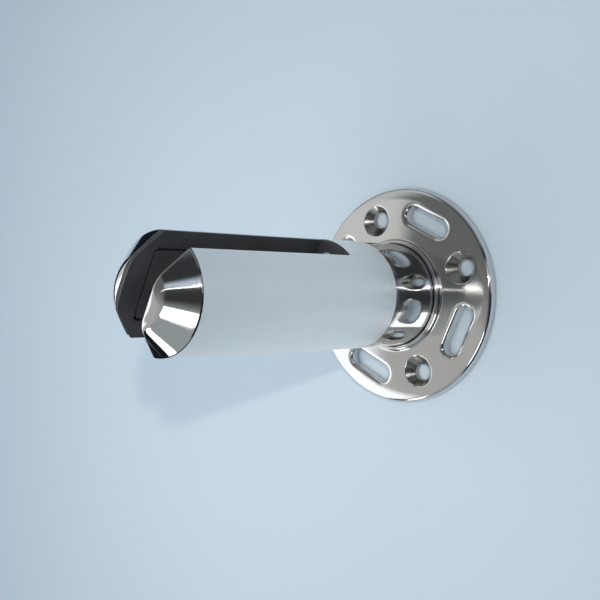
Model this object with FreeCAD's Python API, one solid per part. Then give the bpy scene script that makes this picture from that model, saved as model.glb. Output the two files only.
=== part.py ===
import FreeCAD, Part
import math
import os

# Round base-plate spigot that stands on a deck and clamps the edge of a glass pane.
# Frame: millimetres, origin at the centre of the base plate's underside, +Z up the body,
# X along the glass slot, Y across it. The fixed jaw is at -Y and the clamping jaw at +Y.

V = FreeCAD.Vector
Z_UP = V(0, 0, 1)
Y_OUT = V(0, 1, 0)

# Whole object
total_height = 170.0
body_radius = 25.0
plate_radius = 52.5

# Body: polished neck, satin barrel, 45 degree polished cone, flat top
neck_radius = 24.8
neck_top = 39.5
cone_height = 12.0
cone_base = total_height - cone_height
shoulder_round = 1.5
crown_round = 8.0

# Glass slot
slot_near = -8.4
slot_far = 9.6
slot_floor = 64.0
ledge_bottom = 77.5
ledge_top = 81.0
ledge_depth = 0.9

# Liners and setting block: each liner's outline lies this far inside the body's
near_liner_inset = 1.6
near_liner_thick = 1.5
far_liner_inset = 0.5
far_liner_thick = 1.7
block_thick = 2.0

# Clamp: pocket, plate, pad and screws
pocket_half = 15.75
pocket_bottom = 79.5
pocket_top = 159.5
pocket_back = 14.6
pocket_corner = 2.5
plate_gap = 1.0
plate_corner = 2.0
plate_front = 10.4
plate_back = 14.2
pad_front = 8.1
screw_heights = {"upper": 139.5, "lower": 99.5}
thread_radius = 6.0
thread_clearance = 0.05
screw_outer_end = 24.0
screw_shoulder = 14.5
nose_radius = 4.0
nose_tip = 11.8
nose_clearance = 0.1
nose_hole_depth = 2.6
hex_flats = 6.0
hex_depth = 5.0

# Snap rings and the grooves that hold them
ring_centre = 12.9
ring_wire = 0.35
ring_radius = 3.95
ring_opening = 1.2
plate_groove_width = 0.8
plate_groove_radius = 4.4
nose_groove_width = 1.0
nose_groove_radius = 3.4

# Base plate
rim_height = 2.2
rim_step = 2.1
rim_shoulder = (51.8, 3.6)
rim_top_z = 4.55
fall_start = 45.5
fall_middle = (48.1, 5.08)
dish_plane = 5.0
dish_slope = 0.086
bead_outer = 26.8
bead_top_z = 10.6
bead_round = 0.9
hub_round = 1.2
seal_groove = 25.7
seal_low = 8.5
seal_high = 9.4
seal_clearance = 0.02
seat_bore = 25.0
seat_z = 8.0
bottom_break = 0.5

# Fixing holes and slots in the base plate
hole_circle = 39.5
hole_radius = 4.0
sink_radius = 7.75
slot_circle = 38.8
base_slot_width = 8.5
base_slot_length = 25.0
base_slot_lip = 1.5
sink_plane = 6.0
lip_plane = 6.0

# Joint between base plate and body
bolt_radius = 6.0
bolt_head_radius = 12.0
bolt_head_height = 6.0
bolt_head_floor = 0.8
bolt_tip = 30.0
bolt_hex = 8.0
bolt_hex_depth = 4.5
pin_radius = 2.5
pin_place = 17.0
pin_bottom = 3.0
pin_top = 14.0
bolt_bore_top = 32.0
bolt_clearance = 0.05
past = 5.0


def save(shape, node):
    shape.exportStep("parts/" + node + ".step")


def cylinder(radius, bottom, top, x=0.0, y=0.0):
    return Part.makeCylinder(radius, top - bottom, V(x, y, bottom), Z_UP)


def across(radius, start, end, z):
    """A cylinder along +Y between two Y positions, at height z."""
    return Part.makeCylinder(radius, end - start, V(0, start, z), Y_OUT)


def box(low, high):
    size = V(*high).sub(V(*low))
    return Part.makeBox(size.x, size.y, size.z, V(*low))


def line(start, end):
    return Part.makeLine(V(start[0], 0, start[1]), V(end[0], 0, end[1]))


def arc(start, middle, end):
    points = [V(p[0], 0, p[1]) for p in (start, middle, end)]
    return Part.Arc(*points).toShape()


def turned(edges):
    """Solid of revolution about Z from a closed outline in the XZ plane."""
    face = Part.Face(Part.Wire(Part.__sortEdges__(edges)))
    return face.revolve(V(0, 0, 0), Z_UP, 360)


def rounded_panel(half, bottom, top, front, back, corner):
    """Upright plate with rounded corners, thick along Y."""
    block = box((-half, front, bottom), (half, back, top))
    upright = [e for e in block.Edges if abs(e.tangentAt(e.FirstParameter).y) > 0.9]
    return block.makeFillet(corner, upright)


def hexagon(flats, start, end, axis, centre):
    """Hexagonal prism between two positions along axis (Y or Z)."""
    corner = flats / math.sqrt(3)
    turns = [math.radians(60 * i) for i in range(7)]
    if axis == "Y":
        points = [V(corner * math.cos(a), start, centre + corner * math.sin(a)) for a in turns]
        path = V(0, end - start, 0)
    else:
        points = [V(corner * math.cos(a), corner * math.sin(a), start) for a in turns]
        path = V(0, 0, end - start)
    return Part.Face(Part.makePolygon(points)).extrude(path)


def bend(radius, centre_r, centre_z, start, end):
    """Arc of the outline between two angles in degrees, with its end points."""
    angles = (start, (start + end) / 2, end)
    points = []
    for angle in angles:
        a = math.radians(angle)
        points.append((centre_r + radius * math.cos(a), centre_z + radius * math.sin(a)))
    return arc(*points), points[0], points[2]


def outer_form(inset=0.0):
    """The body's outer form: neck, barrel, cone and flat top, shrunk by inset."""
    barrel = body_radius - inset
    neck = neck_radius - inset
    bottom = seat_z + inset
    top = total_height - inset
    # an inset 45 degree cone meets the inset barrel lower down by inset * tan(22.5 degrees)
    half_turn = math.tan(math.radians(22.5))
    shoulder = cone_base - inset * half_turn
    crown = barrel - (top - shoulder)
    shoulder_arc, up, over = bend(shoulder_round, barrel - shoulder_round,
                                  shoulder - shoulder_round * half_turn, 0, 45)
    crown_arc, cone_end, flat_end = bend(crown_round, crown - crown_round * half_turn,
                                         top - crown_round, 45, 90)
    edges = [
        line((0, bottom), (neck, bottom)),
        line((neck, bottom), (neck, neck_top)),
        line((neck, neck_top), (barrel, neck_top)),
        line((barrel, neck_top), up),
        shoulder_arc,
        line(over, cone_end),
        crown_arc,
        line(flat_end, (0, top)),
        line((0, top), (0, bottom)),
    ]
    return turned(edges)


def clamp_pocket(front):
    """Space for the pressure plate, from front back into the clamping jaw."""
    return rounded_panel(pocket_half, pocket_bottom, pocket_top, front, pocket_back, pocket_corner)


def spigot_body():
    body = outer_form()
    wide = body_radius + past
    slot = box((-wide, slot_near, slot_floor), (wide, slot_far, total_height + past))
    body = body.cut(slot)
    shelf = box((-wide, slot_near - past, ledge_bottom), (wide, slot_near + ledge_depth, ledge_top))
    body = body.fuse(shelf.common(cylinder(body_radius, ledge_bottom, ledge_top)))
    body = body.cut(clamp_pocket(slot_far - past))
    for height in screw_heights.values():
        body = body.cut(across(thread_radius, slot_far, wide, height))
    body = body.cut(cylinder(bolt_radius, 0, bolt_bore_top))
    body = body.cut(cylinder(pin_radius, 0, pin_top, 0, pin_place))
    return body.removeSplitter()


def jaw_liner(front, back, bottom, inset):
    """Black sheet lying on a slot wall, with the body's own outline a little inside."""
    wide = body_radius + past
    sheet = box((-wide, front, bottom), (wide, back, total_height + past))
    return outer_form(inset).common(sheet)


def fixed_jaw_liner():
    return jaw_liner(slot_near, slot_near + near_liner_thick, ledge_top, near_liner_inset)


def clamp_jaw_liner():
    front = slot_far - far_liner_thick
    liner = jaw_liner(front, slot_far, slot_floor + block_thick, far_liner_inset)
    return liner.cut(clamp_pocket(front - past))


def setting_block():
    block = cylinder(body_radius - far_liner_inset, slot_floor, slot_floor + block_thick)
    wide = body_radius + past
    strip = box((-wide, slot_near, 0), (wide, slot_far, total_height))
    return block.common(strip)


def clamp_panel(front, back):
    half = pocket_half - plate_gap
    low = pocket_bottom + plate_gap
    high = pocket_top - plate_gap
    return rounded_panel(half, low, high, front, back, plate_corner)


def pressure_plate():
    """Steel plate with a blind hole and ring groove for each screw's point."""
    plate = clamp_panel(plate_front, plate_back)
    half_groove = plate_groove_width / 2
    for height in screw_heights.values():
        hole = across(nose_radius + nose_clearance, plate_back - nose_hole_depth, plate_back + past, height)
        groove = across(plate_groove_radius, ring_centre - half_groove, ring_centre + half_groove, height)
        plate = plate.cut(hole).cut(groove)
    return plate


def pressure_pad():
    return clamp_panel(pad_front, plate_front)


def clamp_screw(height):
    """Socket set screw: threaded part, grooved dog point and hexagon socket."""
    screw = across(thread_radius - thread_clearance, screw_shoulder, screw_outer_end, height)
    screw = screw.fuse(across(nose_radius, nose_tip, screw_shoulder, height))
    groove_start = ring_centre - nose_groove_width / 2
    groove_end = groove_start + nose_groove_width
    groove = across(thread_radius, groove_start, groove_end, height)
    groove = groove.cut(across(nose_groove_radius, groove_start, groove_end, height))
    screw = screw.cut(groove)
    socket = hexagon(hex_flats, screw_outer_end - hex_depth, screw_outer_end + past, "Y", height)
    return screw.cut(socket)


def snap_ring(height):
    """Open wire ring that keeps a screw's point in the pressure plate."""
    ring = Part.makeTorus(ring_radius, ring_wire, V(0, ring_centre, height), Y_OUT)
    half = ring_opening / 2
    opening = box((0, 0, height - half), (2 * ring_radius, body_radius, height + half))
    return ring.cut(opening)


def dish_height(radius):
    """Height of the plate's top, a shallow cone that rises towards the hub."""
    return dish_plane + dish_slope * (plate_radius - rim_step - radius)


def hub_fillet():
    """Arc that is tangent to the dished top and to the bead's upright outer side."""
    tilt = math.atan(dish_slope)
    centre_r = bead_outer + hub_round
    centre_z = dish_height(centre_r) + hub_round / math.cos(tilt)
    return bend(hub_round, centre_r, centre_z, 270 - math.degrees(tilt), 180)


def plate_outline():
    """Half section of the base plate: underside, rounded rim, dished top, bead and seat."""
    edge = (plate_radius - rim_step, rim_top_z)
    fall = (fall_start, dish_height(fall_start))
    fillet, foot, fillet_top = hub_fillet()
    bead_side = (bead_outer, bead_top_z - bead_round)
    bead_crest = ((bead_outer + seat_bore) / 2, bead_top_z)
    bead_in = (seat_bore, bead_top_z - bead_round)
    return [
        line((bolt_radius, 0), (plate_radius - bottom_break, 0)),
        line((plate_radius - bottom_break, 0), (plate_radius, bottom_break)),
        line((plate_radius, bottom_break), (plate_radius, rim_height)),
        arc((plate_radius, rim_height), rim_shoulder, edge),
        arc(edge, fall_middle, fall),
        line(fall, foot),
        fillet,
        line(fillet_top, bead_side),
        arc(bead_side, bead_crest, bead_in),
        line(bead_in, (seat_bore, seal_high)),
        line((seat_bore, seal_high), (seal_groove, seal_high)),
        line((seal_groove, seal_high), (seal_groove, seal_low)),
        line((seal_groove, seal_low), (seat_bore, seal_low)),
        line((seat_bore, seal_low), (seat_bore, seat_z)),
        line((seat_bore, seat_z), (bolt_radius, seat_z)),
        line((bolt_radius, seat_z), (bolt_radius, 0)),
    ]


def countersunk_hole(turn):
    """Cutter for a fixing hole whose 90 degree sink is measured where the plate is sink_plane high."""
    x = hole_circle * math.cos(turn)
    y = hole_circle * math.sin(turn)
    hole = cylinder(hole_radius, -past, bead_top_z, x, y)
    depth = sink_radius - hole_radius
    sink = Part.makeCone(hole_radius, sink_radius + past, depth + past, V(x, y, sink_plane - depth), Z_UP)
    return hole.fuse(sink)


def stadium(length, width, bottom, top):
    """Upright long-hole cutter on the +X side, long along Y."""
    half = width / 2
    run = length / 2 - half
    slot = box((slot_circle - half, -run, bottom), (slot_circle + half, run, top))
    for y in (-run, run):
        slot = slot.fuse(cylinder(half, bottom, top, slot_circle, y))
    return slot.removeSplitter()


def base_slot(turn):
    """Cutter for a long hole with a 45 degree lip, square across the radius."""
    slot = stadium(base_slot_length, base_slot_width, -past, bead_top_z)
    lip_bottom = lip_plane - base_slot_lip
    rise = bead_top_z - lip_bottom
    level_edges = [e for e in slot.Edges if e.BoundBox.ZMax < 0]
    small = Part.Wire(Part.sortEdges(level_edges)[0])
    small.translate(V(0, 0, lip_bottom + past))
    large = small.makeOffset2D(rise)
    large.translate(V(0, 0, rise))
    slot = slot.fuse(Part.makeLoft([small, large], True, True))
    slot.rotate(V(0, 0, 0), Z_UP, math.degrees(turn))
    return slot


def base_flange():
    plate = turned(plate_outline())
    for quarter in range(4):
        square = math.radians(90 * quarter)
        plate = plate.cut(countersunk_hole(square + math.radians(45)))
        plate = plate.cut(base_slot(square))
    sink = Part.makeCone(bolt_head_radius, bolt_radius, bolt_head_height, V(0, 0, bolt_head_floor), Z_UP)
    plate = plate.cut(sink.fuse(cylinder(bolt_head_radius, -past, bolt_head_floor)))
    return plate.cut(cylinder(pin_radius, pin_bottom, bead_top_z, 0, pin_place))


def centre_bolt():
    """Countersunk socket bolt that draws the body down into the base plate."""
    head_radius = bolt_head_radius - bolt_clearance
    shank_radius = bolt_radius - bolt_clearance
    head = Part.makeCone(head_radius, shank_radius, bolt_head_height, V(0, 0, bolt_head_floor), Z_UP)
    bolt = head.fuse(cylinder(shank_radius, bolt_head_floor, bolt_tip))
    return bolt.cut(hexagon(bolt_hex, 0, bolt_head_floor + bolt_hex_depth, "Z", 0))


def anti_turn_pin():
    return cylinder(pin_radius, pin_bottom, pin_top, 0, pin_place)


def hub_seal_ring():
    """Rubber ring in the groove under the bead."""
    middle = (neck_radius + seal_groove) / 2
    wire = (seal_high - seal_low) / 2 - seal_clearance
    return Part.makeTorus(middle, wire, V(0, 0, (seal_low + seal_high) / 2), Z_UP)


def main():
    os.makedirs("parts", exist_ok=True)
    save(base_flange(), "base_flange")
    save(spigot_body(), "spigot_body")
    save(fixed_jaw_liner(), "fixed_jaw_liner")
    save(clamp_jaw_liner(), "clamp_jaw_liner")
    save(setting_block(), "setting_block")
    save(pressure_plate(), "pressure_plate")
    save(pressure_pad(), "pressure_pad")
    save(centre_bolt(), "centre_bolt")
    save(anti_turn_pin(), "anti_turn_pin")
    save(hub_seal_ring(), "hub_seal_ring")
    for place, height in screw_heights.items():
        save(clamp_screw(height), "clamp_screw_" + place)
        save(snap_ring(height), "snap_ring_" + place)


main()
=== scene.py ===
import math

import bmesh
import bpy
import numpy as np
from mathutils import Matrix, Vector
from mathutils.geometry import delaunay_2d_cdt


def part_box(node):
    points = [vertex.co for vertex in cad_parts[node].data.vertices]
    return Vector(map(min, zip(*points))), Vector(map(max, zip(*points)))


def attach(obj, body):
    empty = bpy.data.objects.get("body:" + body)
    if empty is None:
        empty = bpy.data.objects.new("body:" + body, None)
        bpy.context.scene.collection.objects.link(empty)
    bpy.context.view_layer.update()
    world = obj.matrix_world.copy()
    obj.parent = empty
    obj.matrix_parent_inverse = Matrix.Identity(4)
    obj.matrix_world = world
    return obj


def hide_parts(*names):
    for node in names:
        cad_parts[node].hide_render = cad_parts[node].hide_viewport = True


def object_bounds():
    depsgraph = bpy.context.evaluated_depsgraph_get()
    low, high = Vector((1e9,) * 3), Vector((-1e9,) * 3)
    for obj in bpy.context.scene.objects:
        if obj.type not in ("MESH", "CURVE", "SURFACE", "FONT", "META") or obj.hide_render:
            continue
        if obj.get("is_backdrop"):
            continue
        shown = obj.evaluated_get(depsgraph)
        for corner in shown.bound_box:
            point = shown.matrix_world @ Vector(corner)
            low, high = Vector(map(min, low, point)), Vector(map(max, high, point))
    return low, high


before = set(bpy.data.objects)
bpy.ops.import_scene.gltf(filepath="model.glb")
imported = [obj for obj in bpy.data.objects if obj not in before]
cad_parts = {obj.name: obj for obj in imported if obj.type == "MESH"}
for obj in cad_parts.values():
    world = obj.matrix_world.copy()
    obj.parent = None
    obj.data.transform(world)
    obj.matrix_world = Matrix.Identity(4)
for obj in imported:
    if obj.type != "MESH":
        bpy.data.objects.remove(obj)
cad_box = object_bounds()

MM = 0.001
WELD = 0.002 * MM
SHARP_ANGLE = 32.0
TAN_EIGHTH = math.tan(math.radians(22.5))


def node_box(node):
    """Lowest and highest corners of a CAD node, in millimetres."""
    low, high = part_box(node)
    return low / MM, high / MM


# Driving sizes in millimetres, from the frame where a box gives them
body_low, body_high = node_box("spigot_body")
flange_high = node_box("base_flange")[1]
near_low, near_high = node_box("fixed_jaw_liner")
far_low, far_high = node_box("clamp_jaw_liner")
block_low, block_high = node_box("setting_block")
pad_low, pad_high = node_box("pressure_pad")
press_low, press_high = node_box("pressure_plate")
pin_low, pin_high = node_box("anti_turn_pin")
bolt_low, bolt_high = node_box("centre_bolt")

HEIGHT = body_high.z
BODY_R = body_high.x
SEAT_Z = body_low.z
NECK_R = BODY_R - 0.2
NECK_BREAK = 0.4
NECK_START = 12.0
NECK_TOP = 39.5
STEP_ROUND = 0.12
BARREL_START = 44.0
CONE_HEIGHT = 12.0
CONE_BASE = HEIGHT - CONE_HEIGHT
SHOULDER_ROUND = 1.5
CROWN_ROUND = 8.0
CROWN_STEPS = 24
JAW_EDGE = 0.25
HEAD_EDGE = {-1: 0.4, 1: 0.25}
EDGE_GROWTH = 4.0
LEAST_HALF_TOP = 1.5

SLOT_NEAR = near_low.y
SLOT_FAR = far_high.y
SLOT_FLOOR = block_low.z
LEDGE_TOP = near_low.z
LEDGE_BOTTOM = LEDGE_TOP - 3.5
LEDGE_DEPTH = 0.9
NEAR_INSET = HEIGHT - near_high.z
FAR_INSET = HEIGHT - far_high.z

POCKET_GAP = 1.0
POCKET_HALF = pad_high.x + POCKET_GAP
POCKET_BOTTOM = pad_low.z - POCKET_GAP
POCKET_TOP = pad_high.z + POCKET_GAP
POCKET_BACK = 14.6
POCKET_CORNER = 2.5
PANEL_CORNER = 2.0

PLATE_R = flange_high.x
BEAD_TOP = flange_high.z
RIM_HEIGHT = 2.2
RIM_STEP = 2.1
RIM_EDGE = PLATE_R - RIM_STEP
BEAD_OUTER = 26.8
BEAD_ROUND = 0.9
BEAD_ROUND_Z = BEAD_TOP - BEAD_ROUND
HUB_ROUND = 1.2
SEAL_GROOVE = 25.7
SEAL_LOW = 8.5
SEAL_HIGH = 9.4
SEAT_BORE = 25.0
UNDER_BREAK = 0.5
DISH_Z = 5.0
DISH_SLOPE = 0.086
DISH_TILT = math.atan(DISH_SLOPE)
FALL_START = 45.5
FALL_DEPTH = 0.45
RIM_START = 12.0

HOLE_CIRCLE = 39.5
HOLE_R = 4.0
SINK_R = 7.75
SINK_PLANE = 6.0
SINK_FOOT = SINK_PLANE - (SINK_R - HOLE_R)
SINK_SOFT = 0.3
SINK_DROP = 0.08
SLOT_CIRCLE = 38.8
SLOT_HALF_WIDTH = 4.25
SLOT_RUN = 8.25
SLOT_LIP = 1.5
LIP_WIDTH = 2.0

BOLT_R = 6.0
BOLT_HEAD_R = 12.0
BOLT_HEAD_FLOOR = 0.8
BOLT_HEAD_HEIGHT = 6.0
BOLT_BORE_TOP = 32.0
BOLT_THREAD_START = 10.0
BOLT_CLEARANCE = 0.05
PIN_R = pin_high.x
PIN_PLACE = (pin_low.y + pin_high.y) / 2

SCREW_BORE = 6.0
SCREW_HEIGHTS = {"upper": 139.5, "lower": 99.5}
BORE_CHAMFER = 0.5
BORE_BAND = (88.0, 152.0)

SCREW_SHOULDER = 14.5
SCREW_BREAK = 0.8
SCREW_HEX = 6.0
SCREW_HEX_DEPTH = 5.0
THREAD_PITCH = 1.75
THREAD_DEPTH = 0.6
BOLT_HEX = 8.0
BOLT_HEX_DEPTH = 4.0
NOSE_R = 4.0
NOSE_GROOVE_R = 3.4
NOSE_HOLE_R = 4.1
NOSE_FLOOR = 11.6
SNAP_PLACE = 12.9
SNAP_R = 3.95
SNAP_WIRE = 0.35
SNAP_GAP = 1.2
PLATE_GROOVE_R = 4.4
GROOVE_FRONT = SNAP_PLACE - 0.4
GROOVE_BACK = SNAP_PLACE + 0.4
NOSE_GROOVE_FRONT = GROOVE_FRONT - 0.1
NOSE_GROOVE_BACK = GROOVE_BACK + 0.1
NOSE_BREAK = 0.3

AROUND = 240
TURNED = 72


def full_turn(count):
    """Equal steps round a circle, in radians."""
    return np.linspace(0, 2 * math.pi, count, endpoint=False)


def sweep(first, last, count):
    """Angles between two directions given in degrees, in radians."""
    return np.radians(np.linspace(first, last, count))


def polar(radius, a, x=0.0, y=0.0):
    """Flat place at an angle and a radius round a centre."""
    return (x + radius * math.cos(a), y + radius * math.sin(a))


def circle(radius, z, count=AROUND, x=0.0, y=0.0):
    """Closed level ring of points."""
    return [(*polar(radius, a, x, y), z) for a in full_turn(count)]


def inside(points, loop):
    """Even-odd test of an array of flat points against a closed loop."""
    x, y = points[:, 0], points[:, 1]
    hit = np.zeros(len(points), bool)
    for (x0, y0), (x1, y1) in zip(loop, np.roll(loop, -1, axis=0)):
        crosses = (y0 > y) != (y1 > y)
        if y1 != y0:
            hit ^= crosses & (x < x0 + (y - y0) * (x1 - x0) / (y1 - y0))
    return hit


class Skin:
    """Faces of one piece, in millimetres. Corners in the same place are welded at the end."""

    def __init__(self):
        self.points = []
        self.faces = []
        self.finishes = []

    def add(self, points, faces, finish):
        """Adds faces that count their corners from the first of these points."""
        start = len(self.points)
        self.points += [tuple(map(float, p)) for p in points]
        self.faces += [[start + i for i in face] for face in faces]
        self.finishes += [finish] * len(faces)

    def strip(self, first, second, finish=0, closed=True):
        """Quads between two rows of as many points."""
        count = len(first)
        last = count if closed else count - 1
        faces = [(i, (i + 1) % count, count + (i + 1) % count, count + i) for i in range(last)]
        self.add(list(first) + list(second), faces, finish)

    def rings(self, rows, finish=0, closed=True):
        """Quads between each row and the next."""
        for first, second in zip(rows, rows[1:]):
            self.strip(first, second, finish, closed)

    def fill(self, loops, lift, finish=0, inner=()):
        """Fills flat loops, the first less the others, with triangles that lift takes into space."""
        flat = []
        edges = []
        for loop in loops:
            start = len(flat)
            flat += [Vector(p) for p in loop]
            edges += [(start + i, start + (i + 1) % len(loop)) for i in range(len(loop))]
        flat += [Vector(p) for p in inner]
        corners, _, faces, *_ = delaunay_2d_cdt(flat, edges, [], 0, 1e-7)
        corners = np.array([tuple(c) for c in corners])
        faces = np.array(faces)
        centres = corners[faces].mean(axis=1)
        keep = inside(centres, np.array(loops[0]))
        for hole in loops[1:]:
            keep &= ~inside(centres, np.array(hole))
        self.add([lift(*c) for c in corners], faces[keep].tolist(), finish)


def finished(name, skin, materials, body, replaced):
    """Turns a skin into a clean mesh object with weighted normals that rides on a body."""
    mesh = bpy.data.meshes.new(name)
    mesh.from_pydata([(x * MM, y * MM, z * MM) for x, y, z in skin.points], [], skin.faces)
    for material in materials:
        mesh.materials.append(material)
    mesh.polygons.foreach_set("material_index", skin.finishes)
    work = bmesh.new()
    work.from_mesh(mesh)
    bmesh.ops.remove_doubles(work, verts=work.verts, dist=WELD)
    bmesh.ops.recalc_face_normals(work, faces=work.faces)
    work.to_mesh(mesh)
    work.free()
    mesh.shade_smooth()
    mesh.set_sharp_from_angle(angle=math.radians(SHARP_ANGLE))
    piece = bpy.data.objects.new(name, mesh)
    bpy.context.scene.collection.objects.link(piece)
    weigh = piece.modifiers.new("weighted", "WEIGHTED_NORMAL")
    weigh.keep_sharp = True
    bpy.context.view_layer.update()
    shaped = piece.evaluated_get(bpy.context.evaluated_depsgraph_get())
    piece.data = bpy.data.meshes.new_from_object(shaped)
    piece.modifiers.clear()
    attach(piece, body)
    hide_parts(*replaced)


# ---- Materials


class Nodes:
    """Short calls for building a node tree."""

    def __init__(self, tree):
        self.tree = tree

    def feed(self, socket, value):
        """Links what comes from a node, and sets a number or colour on the socket itself."""
        if isinstance(value, bpy.types.NodeSocket):
            self.tree.links.new(value, socket)
        else:
            socket.default_value = value

    def node(self, kind, **values):
        """Adds a node. Keywords are its settings or its sockets, with _ for a space in a name."""
        made = self.tree.nodes.new("ShaderNode" + kind)
        for key, value in values.items():
            socket = key.replace("_", " ")
            if socket in made.inputs:
                self.feed(made.inputs[socket], value)
            else:
                setattr(made, key, value)
        return made

    def calc(self, kind, operation, *values):
        """Adds a maths node of a kind and returns it."""
        made = self.node(kind, operation=operation)
        for socket, value in zip(made.inputs, values):
            self.feed(socket, value)
        return made

    def math(self, operation, *values):
        return self.calc("Math", operation, *values).outputs[0]

    def dot(self, first, second):
        return self.calc("VectorMath", "DOT_PRODUCT", first, second).outputs["Value"]


class Surface(Nodes):
    """Short calls for one material's node tree."""

    def __init__(self, name):
        self.material = bpy.data.materials.new(name)
        self.material.use_nodes = True
        super().__init__(self.material.node_tree)

    def shade(self, **values):
        """Feeds the shader's sockets and returns the finished material."""
        shader = self.tree.nodes["Principled BSDF"]
        for key, value in values.items():
            self.feed(shader.inputs[key.replace("_", " ")], value)
        return self.material

    def place(self):
        return self.node("TexCoord").outputs["Object"]

    def round_place(self, turn_scale, height_scale):
        """Coordinates that run round the Z axis and up it, for marks left by turning and brushing."""
        split = self.node("SeparateXYZ", Vector=self.place())
        turn = self.math("ARCTAN2", split.outputs["Y"], split.outputs["X"])
        height = self.math("MULTIPLY", split.outputs["Z"], height_scale)
        return self.node("CombineXYZ", X=self.math("MULTIPLY", turn, turn_scale), Y=height).outputs[0]

    def noise(self, vector, scale, detail=3.0, roughness=0.5):
        made = self.node("TexNoise", Vector=vector, Scale=scale, Detail=detail, Roughness=roughness)
        return made.outputs["Fac"]

    def spread(self, value, low, high, from_low=0.3, from_high=0.7):
        """Maps the middle of a noise's range to the range from low to high."""
        made = self.node("MapRange", Value=value, From_Min=from_low, From_Max=from_high,
                         To_Min=low, To_Max=high)
        return made.outputs["Result"]

    def two_tone(self, value, first, second):
        made = self.node("ValToRGB", Fac=value)
        for element, position, colour in zip(made.color_ramp.elements, (0.3, 0.7), (first, second)):
            element.position = position
            element.color = (*colour, 1)
        return made.outputs["Color"]

    def blend(self, first, second, share):
        """Sum of two values, the second with this share."""
        return self.math("ADD", self.math("MULTIPLY", first, 1.0 - share),
                         self.math("MULTIPLY", second, share))

    def edges(self, radius):
        """0 on flats to 1 on outer edges, from the bevelled normal."""
        bevel = self.node("Bevel", Radius=radius).outputs["Normal"]
        plain = self.node("NewGeometry").outputs["Normal"]
        return self.spread(self.dot(bevel, plain), 1.0, 0.0, 0.86, 0.995)

    def bump(self, heights, distance, strength):
        return self.node("Bump", Height=heights, Strength=strength, Distance=distance).outputs["Normal"]


def polished_steel(name, low, high):
    """Mirror-polished stainless steel with faint haze and round buffing lines, roughness low to high."""
    m = Surface(name)
    haze = m.noise(m.place(), 55.0, 4.0)
    lines = m.noise(m.round_place(14.0, 2600.0), 1.0, 2.0)
    return m.shade(
        Base_Color=m.two_tone(haze, (0.66, 0.66, 0.66), (0.71, 0.71, 0.71)),
        Roughness=m.math("ADD", m.spread(haze, low, high), m.spread(lines, -0.015, 0.02)),
        Normal=m.bump(haze, 0.00004, 0.25), Metallic=1.0, Anisotropic=0.6, Anisotropic_Rotation=0.25)


def satin_steel():
    """Brushed stainless steel, brushed round the barrel."""
    m = Surface("satin_steel")
    fine = m.noise(m.round_place(9.0, 5200.0), 1.0, 3.0, 0.6)
    broad = m.noise(m.round_place(1.5, 260.0), 1.0, 3.0, 0.55)
    cloud = m.noise(m.place(), 30.0, 3.0)
    return m.shade(
        Base_Color=m.two_tone(m.blend(broad, cloud, 0.65), (0.93, 0.91, 0.88), (0.99, 0.975, 0.95)),
        Roughness=m.math("ADD", m.spread(fine, 0.33, 0.40), m.spread(cloud, -0.02, 0.02)),
        Normal=m.bump(fine, 0.00002, 0.3), Metallic=1.0, Anisotropic=0.6, Anisotropic_Rotation=0.25)


def machined_steel(name, tone, light, rough=0.28):
    """Plain cut steel with fine tool marks and brighter edges."""
    m = Surface(name)
    marks = m.noise(m.place(), 2400.0, 2.0)
    cloud = m.noise(m.place(), 120.0, 4.0)
    return m.shade(
        Base_Color=m.two_tone(m.blend(cloud, m.edges(0.0004), 0.3), tone, light),
        Roughness=m.spread(marks, rough - 0.06, rough + 0.08),
        Normal=m.bump(marks, 0.00002, 0.4), Metallic=1.0)


def black_rubber():
    """Moulded black rubber with a fine grain and slightly paler rubbed edges."""
    m = Surface("black_rubber")
    grain = m.noise(m.place(), 3800.0, 3.0, 0.6)
    cloud = m.noise(m.place(), 90.0, 4.0)
    worn = m.blend(cloud, m.edges(0.0003), 0.2)
    return m.shade(
        Base_Color=m.two_tone(worn, (0.058, 0.059, 0.064), (0.092, 0.093, 0.098)),
        Roughness=m.spread(grain, 0.55, 0.72),
        Normal=m.bump(grain, 0.00003, 0.5), Specular_IOR_Level=0.25)


POLISHED = polished_steel("polished_steel", 0.05, 0.09)
BUFFED = polished_steel("buffed_steel", 0.08, 0.11)
SATIN = satin_steel()
CUT_STEEL = machined_steel("cut_steel", (0.52, 0.52, 0.53), (0.62, 0.62, 0.63))
PLAIN_STEEL = machined_steel("plain_steel", (0.45, 0.45, 0.46), (0.55, 0.55, 0.56))
SCREW_STEEL = machined_steel("screw_steel", (0.40, 0.39, 0.38), (0.52, 0.51, 0.50))
# Countersink and hole walls: cut steel with a darker, warmer tone, which is painted shade for these recesses.
SHADED_SINK_STEEL = machined_steel("sink_steel_painted_shade", (0.40, 0.39, 0.37), (0.52, 0.50, 0.48), 0.20)
RUBBER = black_rubber()

# ---- Spigot body

ARC_STEPS = 96
EDGE_STEPS = 4
GAP_STEPS = 28
METALS = (SATIN, POLISHED, CUT_STEEL)
SATIN_FACE, MIRROR_FACE, CUT_FACE = 0, 1, 2


def head_profile(inset=0.0):
    """(radius, height) rows from the barrel's end up the cone, and those of the crown above it."""
    radius = BODY_R - inset
    top = HEIGHT - inset
    shoulder = CONE_BASE - inset * TAN_EIGHTH
    top_edge = radius - (top - shoulder)
    centre = (radius - SHOULDER_ROUND, shoulder - SHOULDER_ROUND * TAN_EIGHTH)
    rows = [polar(SHOULDER_ROUND, a, *centre) for a in sweep(0, 45, 7)]
    centre = (top_edge - CROWN_ROUND * TAN_EIGHTH, top - CROWN_ROUND)
    crown = [polar(CROWN_ROUND, a, *centre) for a in sweep(45, 90, CROWN_STEPS + 1)]
    first, last = rows[-1], crown[0]
    for share in np.linspace(0, 1, 11)[1:-1]:
        rows.append((first[0] + (last[0] - first[0]) * share, first[1] + (last[1] - first[1]) * share))
    return rows, crown


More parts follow.
